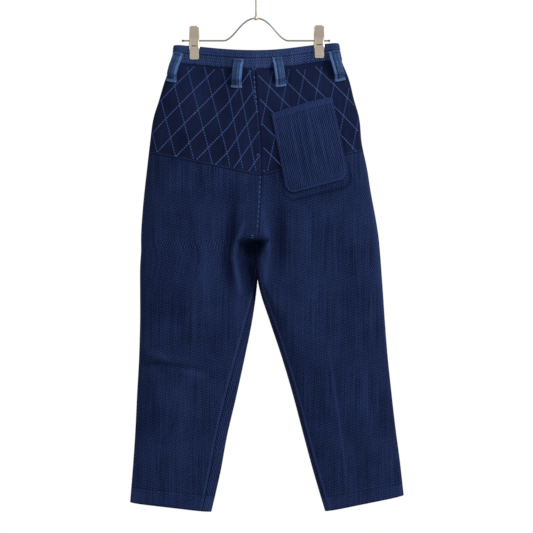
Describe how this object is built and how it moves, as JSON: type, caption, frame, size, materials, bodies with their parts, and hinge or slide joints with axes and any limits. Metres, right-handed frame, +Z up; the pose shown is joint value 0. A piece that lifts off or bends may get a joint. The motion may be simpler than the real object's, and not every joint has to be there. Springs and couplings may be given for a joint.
{
  "type": "trousers on a clip hanger",
  "caption": "Ankle-length indigo trousers with a stitched diamond yoke and a back patch pocket, hung by the waistband from a metal clip hanger.",
  "frame": {"origin": "the point under the top of the hook where the hanger rests on its rail", "axes": "+Z up; the trousers' back, which is shown, faces -Y and their front +Y; +X is the viewer's right, seen from behind"},
  "size_m": [0.5885, 0.0983, 1.1638],
  "materials": {
    "indigo_twill": "thick indigo sashiko cotton with a coarse diagonal twill",
    "indigo_band": "doubled indigo sashiko cotton with rows of stitching",
    "indigo_loop": "folded lighter indigo cotton strip",
    "horn": "dark polished urea button",
    "nickel": "satin champagne nickel plate on steel"
  },
  "bodies": {
    "root": {"back_panel_left": "indigo_twill", "back_panel_right": "indigo_twill", "front_panel_left": "indigo_twill", "front_panel_right": "indigo_twill", "back_yoke_left": "indigo_twill", "back_yoke_right": "indigo_twill", "front_yoke_left": "indigo_twill", "front_yoke_right": "indigo_twill", "back_pocket": "indigo_twill", "fly_placket": "indigo_twill", "waistband": "indigo_band", "belt_loop_back_1": "indigo_loop", "belt_loop_back_2": "indigo_loop", "belt_loop_back_3": "indigo_loop", "belt_loop_back_4": "indigo_loop", "belt_loop_front_1": "indigo_loop", "belt_loop_front_2": "indigo_loop", "waist_button": "horn", "hanger_arm_left": "nickel", "hanger_arm_right": "nickel", "hanger_eye": "nickel", "hanger_hook": "nickel", "clip_left_back_jaw": "nickel", "clip_left_front_jaw": "nickel", "clip_left_hub": "nickel", "clip_right_back_jaw": "nickel", "clip_right_front_jaw": "nickel", "clip_right_hub": "nickel"}
  },
  "joints": []
}
